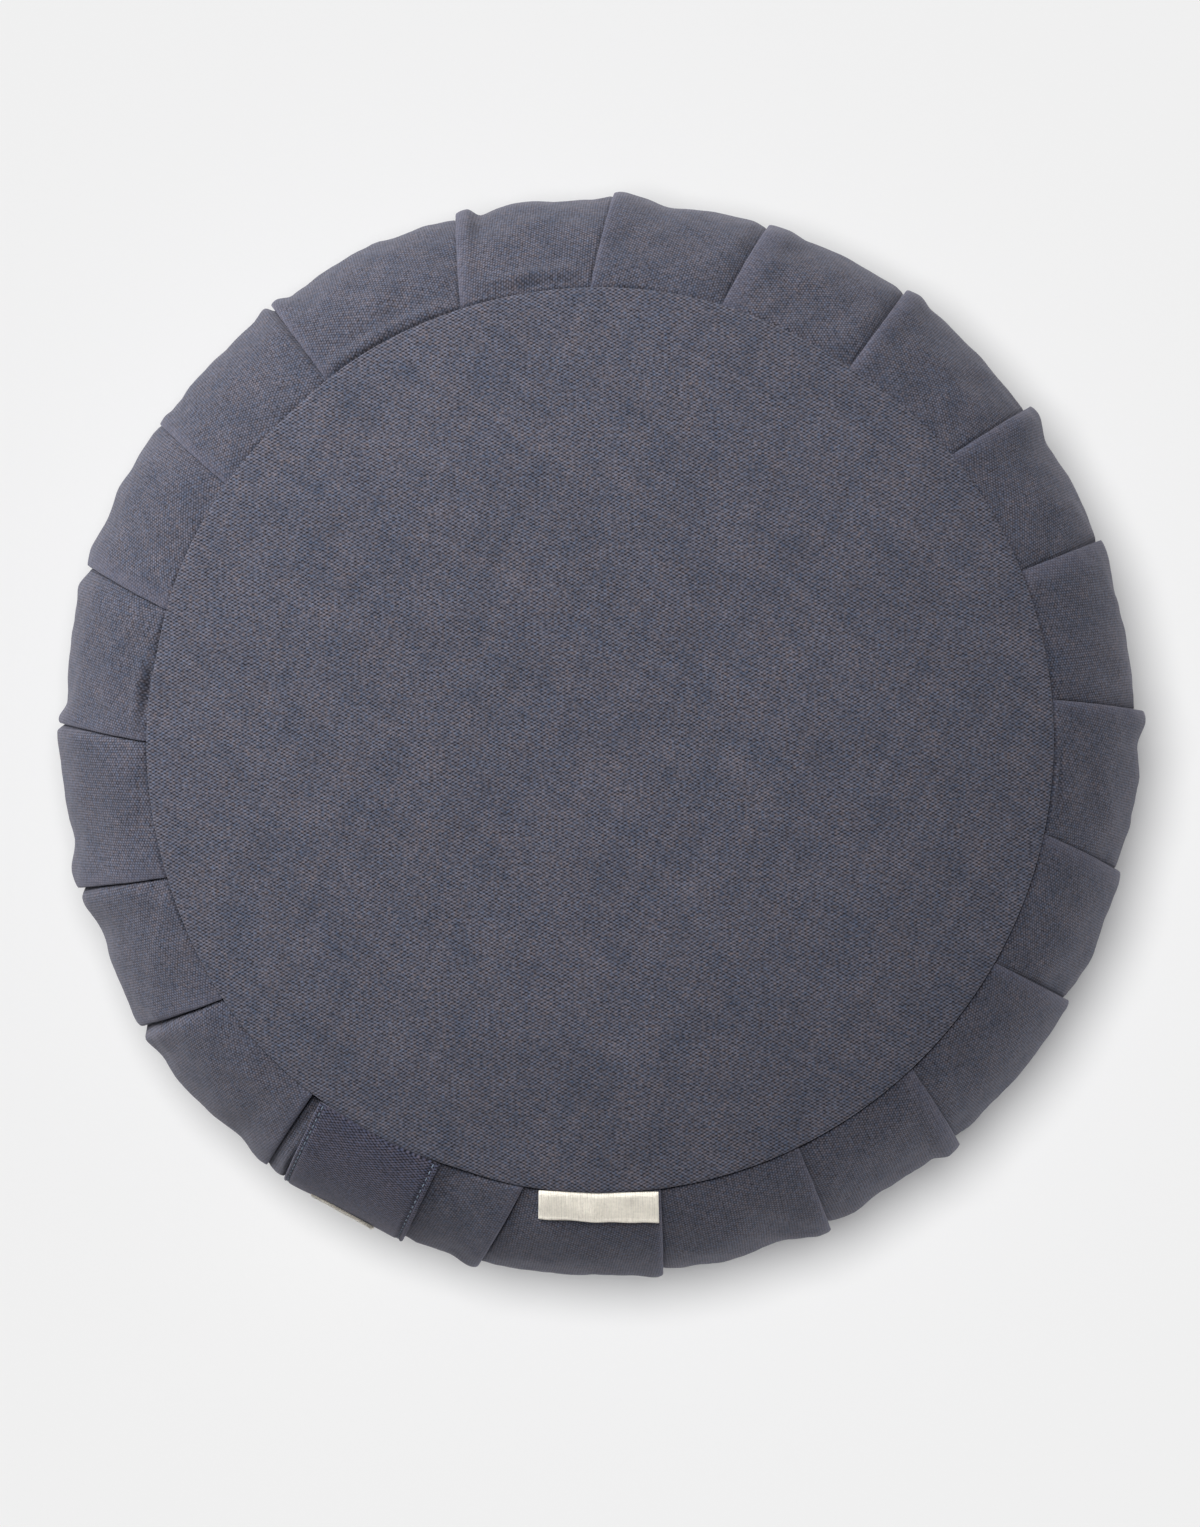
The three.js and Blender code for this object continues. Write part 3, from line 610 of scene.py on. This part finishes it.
def strap_stitches(pitch):
    """A row of stitches along each line of the strap: spindles laid end to end, each a few rings round
    a middle that rises off the cloth and dips into it at both ends."""
    rings, columns, thick = 7, 6, STITCH["thick"]
    t = np.linspace(0, 1, rings)
    angle = 2 * math.pi * np.arange(columns) / columns
    girth = thick / 2 * (np.sqrt(np.clip(1 - (2 * t - 1) ** 4, 0, 1)) * 0.9 + 0.1)
    lift = thick * 0.55 * np.sin(math.pi * t) - 0.1
    points, quads, triangles, start = [], [], [], 0
    for line in STITCH_LINES:
        for first in np.arange(0.8, SIDE_ARC - 1 - pitch, pitch):
            down = first + t * (pitch - STITCH["between"])
            aside = line + np.outer(girth, np.cos(angle))
            up = lift[:, None] + np.outer(girth, np.sin(angle))
            points.append(on_strap(aside, down[:, None] + 0 * aside, up).reshape(-1, 3))
            points.append(on_strap(np.array([line, line]), down[[0, -1]], lift[[0, -1]]))
            quads.append(grid_faces(rings, columns, start)[:, ::-1])
            triangles.append(end_faces(rings, columns, False, start))
            start += rings * columns + 2
    return mesh_object("strap_stitches", *(np.concatenate(part) for part in (points, quads, triangles)))


def strap_patch():
    """The patch on the strap, with fine ribs along it that are stronger in places."""
    along = np.linspace(*PATCH_SPAN, 90)
    edge = 0.5
    across = np.linspace(-PATCH["width"] / 2 + edge, PATCH["width"] / 2 - edge, 53)

    def place_at(aside, push, level, share):
        face, _ = strap_layer(share)
        rib_wear_and_edge_highlight = 1 + 0.7 * np.sin(aside * 2.3 + SIDE_ARC * share) * np.sin(aside * 0.9)
        ribs = 0.24 * rib_wear_and_edge_highlight * np.cos(aside * 2 * math.pi / PATCH["rib"]) * np.where(level > 0.9, 1, 0)
        height = face + GAP + level * PATCH["thick"] + ribs
        return over_strap(aside + edge * push, share, height)

    return strip_object("strap_patch", across, along, edge, place_at)


def section_height(clock, share, shape):
    """Height of the tab's host section under a clock angle, without its creases."""
    s = {k: v[TAB_HOST] for k, v in SECTIONS.items()}
    after = {k: v[TAB_HOST + 1] for k, v in SECTIONS.items()}
    move = drift(share)
    fold = lerp(s["seam"], s["rim"], move)
    span = lerp(after["seam"], after["rim"], move) - fold
    rim_span = after["rim"] - s["rim"]
    degrees = np.maximum(s["lip_at"], turn(fold, clock) * rim_span / span)
    height = lerp(*open_face(s, degrees, rim_span), fullness(share))
    return settled(height, clock, share, shape.seam_valley / MM, shape.unevenness / MM)


def seam_tab(shape):
    """The tab from the top seam outward, lying on its section. Its lower edge sags unevenly, and its
    hem stands up a little just before it thins out."""
    along = (TAB["start"] + np.linspace(0, 1, 34) * TAB["length"]) / SIDE_ARC
    edge = 0.4
    asides = np.linspace(-TAB["width"] / 2 + edge, TAB["width"] / 2 - edge, 88)

    def place_at(aside, push, level, share):
        middle = smooth_side(TAB["at"], share)[0]
        x = aside + edge * push
        clock = TAB["at"] + np.degrees(x / middle)
        out = (SIDE_ARC * share - TAB["start"]) / TAB["length"]
        across = x / (TAB["width"] / 2)
        sag = 1.1 * across * across - 0.5 * across + 0.12 * np.sin(x / 2.6)
        share = share + sag * smoothstep(out, 0.4, 1) / SIDE_ARC
        height = section_height(clock, share, shape) + TAB["clear"]
        thick = TAB["thick"] * lerp(1.0, 0.55, smoothstep(out, 0.93, 1.0))
        lift = 0.25 * bell(out - 0.93, 0.06) + 0.12 * np.sin(x / 4.1 + 2) * smoothstep(out, 0.2, 1)
        return side_point(clock, share, height + level * (thick + lift))

    return strip_object("seam_tab", asides, along, edge, place_at)


# ---- materials


class Value:
    """A number socket of a material, with the arithmetic that its patterns use."""

    def __init__(self, finish, socket):
        self.finish, self.socket = finish, socket

    def math(self, operation, *others):
        inputs = dict(enumerate((self, *others)))
        return self.finish.node("Math", {"operation": operation}, inputs, "Value")

    def __add__(self, other): return self.math("ADD", other)
    def __sub__(self, other): return self.math("SUBTRACT", other)
    def __rsub__(self, other): return self * -1 + other
    def __mul__(self, other): return self.math("MULTIPLY", other)
    def __truediv__(self, other): return self.math("DIVIDE", other)
    __radd__, __rmul__ = __add__, __mul__

    def __abs__(self): return self.math("ABSOLUTE")
    def cos(self): return self.math("COSINE")

    def above(self, low, high):
        """0 at low, 1 at high, and straight between."""
        inputs = {"Value": self, "From Min": low, "From Max": high}
        return self.finish.node("MapRange", {"clamp": True}, inputs, "Result")


class Finish:
    """The nodes of one material."""

    def __init__(self, name):
        self.material = bpy.data.materials.new(name)
        self.material.use_nodes = True
        self.tree = self.material.node_tree
        self.tree.nodes.clear()

    def node(self, kind, settings, inputs, output=None):
        """A node of a type, with its settings, then the values or links of its sockets."""
        node = self.tree.nodes.new("ShaderNode" + kind)
        for name, value in settings.items():
            setattr(node, name, value)
        for name, value in inputs.items():
            socket = node.inputs[name]
            if isinstance(value, (Value, bpy.types.NodeSocket)):
                self.tree.links.new(value.socket if isinstance(value, Value) else value, socket)
            else:
                socket.default_value = value
        if output is None:
            return node
        made = node.outputs[output]
        return Value(self, made) if made.type == "VALUE" else made

    def noise(self, place, scale, detail=2.0, rough=0.5):
        inputs = {"Vector": place, "Scale": scale, "Detail": detail, "Roughness": rough}
        return self.node("TexNoise", {}, inputs, 0)

    def place(self, x, y, z=0.0):
        return self.node("CombineXYZ", {}, {"X": x, "Y": y, "Z": z}, "Vector")

    def mix(self, share, a, b, how="MIX"):
        """Colour a turned into colour b by a share."""
        inputs = {"Factor": share, 6: a, 7: b}
        return self.node("Mix", {"data_type": "RGBA", "blend_type": how}, inputs, 2)

    def finish(self, colour, normal, roughness, **constants):
        """The cloth's shader. What is the same all over is set on its own sockets."""
        inputs = {"Base Color": colour, "Normal": normal, "Roughness": roughness, **constants}
        shader = self.node("BsdfPrincipled", {}, inputs)
        self.node("OutputMaterial", {}, {"Surface": shader.outputs[0]})
        return self.material


def xy(finish, attribute=None, turned=0.0):
    """Place on the cloth in mm, across and along the warp: from the piece's own attribute, or from
    its place in the frame, turned by some degrees."""
    if attribute:
        source = finish.node("Attribute", {"attribute_name": attribute}, {}, "Vector")
        split = finish.node("SeparateXYZ", {}, {"Vector": source})
        return Value(finish, split.outputs[0]), Value(finish, split.outputs[1])
    source = finish.node("TexCoord", {}, {}, "Object")
    split = finish.node("SeparateXYZ", {}, {"Vector": source})
    x, y = (Value(finish, split.outputs[k]) * 1000 for k in (0, 1))
    a = math.radians(turned)
    return x * math.cos(a) + y * math.sin(a), y * math.cos(a) - x * math.sin(a)


def tinted(colour, by, tint=(1, 1, 1)):
    """A colour made lighter or darker, and tinted, as a node's four numbers."""
    return tuple(min(1.0, c * by * t) for c, t in zip(colour, tint)) + (1,)


def drawn_out(f, x, y, angle, length, width, seed):
    """Noise drawn out along a direction."""
    a = math.radians(angle)
    along, across = x * math.cos(a) + y * math.sin(a), y * math.cos(a) - x * math.sin(a)
    return f.noise(f.place(along / length, across / width, seed), 1.0, 3.0, 0.6)


def duck(name, colour, attribute=None, turned=0.0, warp=1.03, weft=0.57, weave=1.0, ribs=0.0, edge=0.0):
    """Washed cotton duck in plain weave; warp and weft are thread widths in mm. The weave is the product
    of two cosines, with a crown on every second crossing; ribs turns it into lines along the warp. Its
    colour is painted shade and light: near black in the hollows between the threads, pale on their
    crowns. Noise shifts the threads, makes some of them paler, and weakens the weave in places. Wide
    noise, nearly as strong at every size from 40 mm down, is the washed mottling; streaks in two
    slanting directions are partly that mottling and partly painted shade of small soft wrinkles. All of
    it is bluer where it is darker, with thin darker veins along one level of another noise. A finer
    noise turns threads a little warmer or cooler. edge paints a highlight by the folded edges: the
    cloth is paler there."""
    f = Finish(name)
    x, y = xy(f, attribute, turned)
    wx = x + (f.noise(f.place(x / 30, y / 30), 1.0) - 0.5) * (1.6 * warp)
    wy = y + (f.noise(f.place(x / 26 + 9, y / 26), 1.0) - 0.5) * (2.4 * weft)
    crossing = (wx * (math.pi / warp)).cos() * (wy * (math.pi / weft)).cos()
    lines = (wx * (2 * math.pi / warp)).cos()
    woven = crossing * (1 - ribs) + lines * ribs
    patchy = f.noise(f.place(x / 6, y / 6, 7.0), 1.0, 2.0) + 0.5
    threads = f.noise(f.place(x / warp, y / 14), 1.0, 1.0) + f.noise(f.place(x / 11, y / weft), 1.0, 1.0) - 1
    grain = f.noise(f.place(x / 1.3, y / 1.3, 4.0), 1.0, 2.0, 0.7) - 0.5
    level = woven * patchy * (0.43 * weave) + threads * (0.13 * weave) + grain * (1.15 * weave) + 0.44
    # Painted shade and light of the weave: near black in the hollows between threads, pale on their crowns.
    # threads and grain add the cloth's own uneven tone.
    hollow_shade, crown_light = tinted(colour, 0.10, (1.04, 1, 1.1)), tinted(colour, 2.25, (0.98, 1, 0.95))
    shade = f.mix(level.above(0, 1), hollow_shade, crown_light)
    cloudy = f.noise(f.place(x / 40 + 3, y / 40), 1.0, 6.0, 0.95) - 0.5
    # The streaks are partly washed mottling in the cloth's own tone and partly painted shade of small soft
    # wrinkles.
    streaks = drawn_out(f, x, y, -37, 30, 5, 1.0) + drawn_out(f, x, y, 62, 26, 5, 6.0) - 1
    vein = 1 - abs(f.noise(f.place(x / 34, y / 34, 2.0), 1.0, 4.0, 0.62) - 0.5).above(0, 0.045)
    faint = f.noise(f.place(x / 18, y / 18, 6.0), 1.0, 1.0)
    mottle_and_wrinkle_shade = (cloudy * 1.5 + streaks - vein * faint * 0.25 + 0.03).above(-0.4, 0.4)
    shade = f.mix(1.0, shade, f.mix(mottle_and_wrinkle_shade, (0.74, 0.80, 0.845, 1), (1.26, 1.20, 1.13, 1)), "MULTIPLY")
    fine_hue = f.noise(f.place(x / 1.2, y / 1.2, 8.0), 1.0, 1.0) * 1.6
    hue = (f.noise(f.place(x / 14, y / 14, 5.0), 1.0, 5.0, 1.0) + fine_hue).above(0.8, 1.8)
    shade = f.mix(1.0, shade, f.mix(hue, (0.79, 1.01, 1.20, 1), (1.195, 0.985, 0.81, 1)), "MULTIPLY")
    # Painted highlight: the cloth is paler along the pleats' folded edges, as where light catches them.
    if edge:
        near = f.node("Attribute", {"attribute_name": "folded_edge"}, {}, "Fac")
        shade = f.mix(near * edge * (grain + 0.9), shade, tinted(colour, 1.9))
    height = woven * weave + threads + grain
    bump = f.node("Bump", {}, {"Strength": 0.8, "Distance": 0.06 * MM, "Height": height}, "Normal")
    sheen = {"Sheen Weight": 0.15, "Sheen Roughness": 0.6, "Sheen Tint": (0.88, 0.87, 1, 1)}
    return f.finish(shade, bump, 0.92, **sheen, **{"Specular IOR Level": 0.2})


def cotton(name, colour, attribute, rib=0.62):
    """Undyed cotton: fine ribs, rib mm apart, threads across them, lint, and soft clouds."""
    f = Finish(name)
    x, y = xy(f, attribute)
    ribs = (x * (2 * math.pi / rib)).cos()
    across = (y * (2 * math.pi / 0.5)).cos()
    thread = f.noise(f.place(x / rib, y / 9), 1.0, 1.0) - 0.5
    lint = f.noise(f.place(x / 1.1, y / 1.1, 2.0), 1.0, 4.0, 0.6) - 0.5
    relief = ribs * 0.35 + across * 0.2 + thread + lint * 1.2
    cloudy = f.noise(f.place(x / 9, y / 9, 5.0), 1.0, 3.0) - 0.5
    # The ribs and cross threads are lighter on their tops and darker in their hollows: painted light and
    # shade. The thread, lint and cloud noise is the cotton's own uneven tone.
    light = ribs * 0.16 + across * 0.08 + thread * 0.85 + lint * 1.0 + cloudy * 0.5 + 0.88
    shade = f.mix(light.above(0.0, 1.0), tinted(colour, 0.62), tinted(colour, 1.075))
    bump = f.node("Bump", {}, {"Strength": 0.7, "Distance": 0.2 * MM, "Height": relief}, "Normal")
    sheen = {"Sheen Weight": 0.3, "Sheen Roughness": 0.6}
    return f.finish(shade, bump, 0.95, **sheen, **{"Specular IOR Level": 0.2})


def thread(name, colour):
    """Sewing thread: fine paler and darker fibres on a plain colour."""
    f = Finish(name)
    place = f.node("TexCoord", {}, {}, "Object")
    fluff = f.noise(place, 2600.0, 2.0)
    shade = f.mix(fluff.above(0.3, 0.7), tinted(colour, 0.8), tinted(colour, 1.15))
    bump = f.node("Bump", {}, {"Strength": 0.5, "Distance": 0.1 * MM, "Height": fluff}, "Normal")
    return f.finish(shade, bump, 0.8, **{"Sheen Weight": 0.2, "Specular IOR Level": 0.35})


# ---- settings


def length_property(name, description, default, low, high):
    return FloatProperty(
        name=name, description=description, default=default, min=low, max=high,
        unit="LENGTH", subtype="DISTANCE")


class ZafuShape(bpy.types.PropertyGroup):
    """Sizes of the cloth pieces."""

    crown: length_property(
        "Crown", "Rise of the top round from its edge to its middle", 0.020, 0.0, 0.03)
    tuck: length_property(
        "Tuck", "How far each pleat runs on under the next one's lip", 0.005, 0.001, 0.008)
    fold_thickness: length_property(
        "Fold thickness", "Thickness of the doubled cloth at a pleat's folded edge", 0.0018, 0.0008, 0.004)
    seam_valley: length_property(
        "Seam valley", "How deep the band dips where it is sewn to a round", 0.001, 0.0, 0.003)
    unevenness: length_property(
        "Unevenness", "Height of the soft lumps that the filling makes in the side", 0.0004, 0.0, 0.002)
    stitch: length_property(
        "Stitch", "Length of one stitch of the strap's topstitching", STITCH["length"] * MM, 0.001, 0.006)


def colour_property(name, description, default):
    return FloatVectorProperty(
        name=name, description=description, default=default, size=3, min=0, max=1, subtype="COLOR")


class ZafuColours(bpy.types.PropertyGroup):
    """Colours of the cloths and threads."""

    band: colour_property("Band", "Cotton duck of the pleated side", (0.0637, 0.0631, 0.0888))
    rounds: colour_property("Rounds", "Cotton duck of the top and bottom rounds", (0.0697, 0.0688, 0.0958))
    strap: colour_property("Strap", "Cotton duck of the carry strap", (0.046, 0.0448, 0.0722))
    cotton: colour_property("Cotton", "Undyed cotton of the patch and the tab", (0.93, 0.872, 0.762))
    thread: colour_property("Thread", "Topstitching thread", (0.22, 0.28, 0.36))


class ZafuStage(bpy.types.PropertyGroup):
    """The floor, the lights and the camera."""

    floor: colour_property("Floor", "Pale floor", (0.86, 0.86, 0.86))
    key: FloatProperty(name="Lights", description="Strength of the lights on the cushion", default=1.0, min=0)
    floor_light: FloatProperty(
        name="Floor light", description="Strength of the light on the floor", default=1.0, min=0)
    eye: length_property(
        "Camera height", "Camera's height above the cushion's widest line", 2.9, 0.5, 10)
    view: length_property(
        "View height", "Height of the picture at the cushion's widest line", 0.5635, 0.1, 5)


def dress(piece, material, slot, *nodes):
    """Gives a piece its material and its body, and hides the nodes that it stands for. slot is not used."""
    piece.data.materials.append(material)
    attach(piece, BODY)
    if nodes:
        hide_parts(*nodes)
    return piece


class ZAFU_OT_pleated_side(bpy.types.Operator):
    """Make the pleated side with its filling"""

    bl_idname = "zafu.pleated_side"
    bl_label = "Pleated Side"

    def execute(self, context):
        shape, colours = context.scene.zafu_shape, context.scene.zafu_colours
        piece = pleated_side(shape)
        cloth = duck("band_duck", tuple(colours.band), "cloth_place", warp=0.95, ribs=0.35, edge=0.4)
        dress(piece, cloth, "duck_band", "pleated_body")
        return {"FINISHED"}


class ZAFU_OT_rounds(bpy.types.Operator):
    """Make the top and bottom rounds"""

    bl_idname = "zafu.rounds"
    bl_label = "Rounds"

    def execute(self, context):
        shape, colours = context.scene.zafu_shape, context.scene.zafu_colours
        crown = shape.crown / MM
        cloth = duck("round_duck", tuple(colours.rounds), turned=2.0, warp=1.08, weft=0.62)
        for name, node, face_at, inward, uneven in (
            ("top_round", "top_panel", lambda r, c: top_face(r, c, crown), -1, 0.35),
            ("bottom_round", "bottom_panel", bottom_face, 1, 0.0),
        ):
            piece = dress(cloth_round(name, face_at, inward, uneven, 8), cloth, "duck_panel", node)
        return {"FINISHED"}


class ZAFU_OT_carry_strap(bpy.types.Operator):
    """Make the carry strap, its topstitching and its patch"""

    bl_idname = "zafu.carry_strap"
    bl_label = "Carry Strap"

    def execute(self, context):
        shape, colours = context.scene.zafu_shape, context.scene.zafu_colours
        cloth = duck("strap_duck", tuple(colours.strap), "cloth_place", warp=1.08, weft=0.62, weave=1.3)
        strap = dress(carry_strap(), cloth, "duck_strap", "carry_handle")
        rows = strap_stitches(shape.stitch / MM)
        dress(rows, thread("stitch_thread", tuple(colours.thread)), "duck_strap")
        ribbed = cotton("patch_cotton", tuple(colours.cotton), "cloth_place", rib=PATCH["rib"])
        patch = dress(strap_patch(), ribbed, "natural_cotton", "handle_patch")
        return {"FINISHED"}


class ZAFU_OT_seam_tab(bpy.types.Operator):
    """Make the tab in the top seam"""

    bl_idname = "zafu.seam_tab"
    bl_label = "Seam Tab"

    def execute(self, context):
        shape, colours = context.scene.zafu_shape, context.scene.zafu_colours
        weave = cotton("tab_cotton", tuple(colours.cotton), "cloth_place")
        tab = dress(seam_tab(shape), weave, "natural_cotton", "seam_label")
        return {"FINISHED"}


def floor_finish(colour):
    """Matt studio paper with the faintest grain."""
    f = Finish("studio_paper")
    place = f.node("TexCoord", {}, {}, "Object")
    grain = f.noise(place, 900.0, 2.0)
    shade = f.mix(grain, tinted(colour, 0.995), tinted(colour, 1.005))
    bump = f.node("Bump", {}, {"Strength": 0.05, "Distance": 0.0002, "Height": grain}, "Normal")
    return f.finish(shade, bump, 0.95, **{"Specular IOR Level": 0.1})


# Soft lights: clock angle, elevation and width in degrees, strength, and metres away (0 is far off, with
# no falloff). The last lights the floor alone, so that its shadow stays short; the others light the
# cushion alone, and one of them comes from below, as light sent back by the floor.
LIGHTS = {
    "low_light": (293, 20, 25, 0.58, 3.0),
    "key_light": (318, 33, 25, 0.56, 3.0),
    "top_light": (350, 68, 25, 0.69, 3.0),
    "fill_light": (128, 9, 60, 0.34, 0),
    "bounce_light": (138, -25, 40, 0.34, 0),
    "floor_light": (312, 82, 30, 1.02, 0),
}


def soft_light(name, clock, elevation, width, strength, away, lit):
    """A round light at a clock angle and elevation, some metres away, or far off for 0, that lights the
    listed objects. Its strength is for a face turned to it at the middle. Light from below passes
    through the floor: only the listed objects shade it."""
    data = bpy.data.lights.new(name, "AREA" if away else "SUN")
    made = bpy.data.objects.new(name, data)
    tilt = math.radians(90 - elevation)
    made.rotation_euler = (0, tilt, math.radians(90 - clock))
    if away:
        data.shape, data.size = "DISK", 2 * away * math.tan(math.radians(width / 2))
        data.energy = (math.pi * away) ** 2 * strength
        toward = ring_point(math.sin(tilt), clock, math.cos(tilt))
        made.location = (PLACE + (0, 0, MIDDLE_Z)) * MM + away * toward
        made.visible_camera = False
    else:
        data.energy, data.angle = math.pi * strength, math.radians(width)
    bpy.context.scene.collection.objects.link(made)
    linking = made.light_linking
    linking.receiver_collection = bpy.data.collections.new("lit_by_" + name)
    for piece in lit:
        linking.receiver_collection.objects.link(piece)
    if elevation < 0:
        linking.blocker_collection = linking.receiver_collection


class ZAFU_OT_stage(bpy.types.Operator):
    """Make the floor, the lights and the camera"""

    bl_idname = "zafu.stage"
    bl_label = "Stage"

    def execute(self, context):
        scene, stage = context.scene, context.scene.zafu_stage
        pieces = [made for made in scene.objects if made.type == "MESH"]
        half, under = 30000.0, 0.2
        corners = half * np.array([(-1, -1, 0), (1, -1, 0), (1, 1, 0), (-1, 1, 0)]) - (0, 0, under)
        floor = mesh_object("floor", corners, [(0, 1, 2, 3)])
        floor.data.materials.append(floor_finish(tuple(stage.floor)))
        for name, (clock, elevation, width, strength, away) in LIGHTS.items():
            on_floor = name == "floor_light"
            strength *= stage.floor_light if on_floor else stage.key
            soft_light(name, clock, elevation, width, strength, away, [floor] if on_floor else pieces)
        world = bpy.data.worlds.new("studio")
        world.use_nodes = True
        world.node_tree.nodes["Background"].inputs["Strength"].default_value = 0
        scene.world = world
        scene.view_settings.view_transform = "Standard"
        lens = bpy.data.cameras.new("camera")
        lens.sensor_fit, lens.sensor_height = "VERTICAL", 24.0
        lens.lens = lens.sensor_height * stage.eye / stage.view
        camera = bpy.data.objects.new("camera", lens)
        pixel = stage.view / PICTURE_TALL
        x, y = (place * MM + shift * pixel for place, shift in zip(PLACE, PICTURE_MIDDLE))
        camera.location = (x, y, MIDDLE_Z * MM + stage.eye)
        scene.collection.objects.link(camera)
        scene.camera = camera
        return {"FINISHED"}


OPERATORS = (ZAFU_OT_pleated_side, ZAFU_OT_rounds, ZAFU_OT_carry_strap, ZAFU_OT_seam_tab, ZAFU_OT_stage)


class ZAFU_PT_panel(bpy.types.Panel):
    """Lists the cushion's pieces and settings"""

    bl_idname = "ZAFU_PT_panel"
    bl_label = "Zafu"
    bl_space_type = "VIEW_3D"
    bl_region_type = "UI"
    bl_category = "Zafu"

    def draw(self, context):
        for operator in OPERATORS:
            self.layout.operator(operator.bl_idname)
        for settings in (context.scene.zafu_shape, context.scene.zafu_colours, context.scene.zafu_stage):
            box = self.layout.box()
            for name in settings.__annotations__:
                box.prop(settings, name)


GROUPS = {"zafu_shape": ZafuShape, "zafu_colours": ZafuColours, "zafu_stage": ZafuStage}


def register():
    for made in (*GROUPS.values(), *OPERATORS, ZAFU_PT_panel):
        bpy.utils.register_class(made)
    for name, group in GROUPS.items():
        setattr(bpy.types.Scene, name, PointerProperty(type=group))


def unregister():
    for name in GROUPS:
        delattr(bpy.types.Scene, name)
    for made in reversed((*GROUPS.values(), *OPERATORS, ZAFU_PT_panel)):
        bpy.utils.unregister_class(made)


def main():
    """Makes every piece in order."""
    register()
    bpy.ops.zafu.pleated_side()
    bpy.ops.zafu.rounds()
    bpy.ops.zafu.carry_strap()
    bpy.ops.zafu.seam_tab()
    bpy.ops.zafu.stage()


if __name__ == "__main__":
    main()
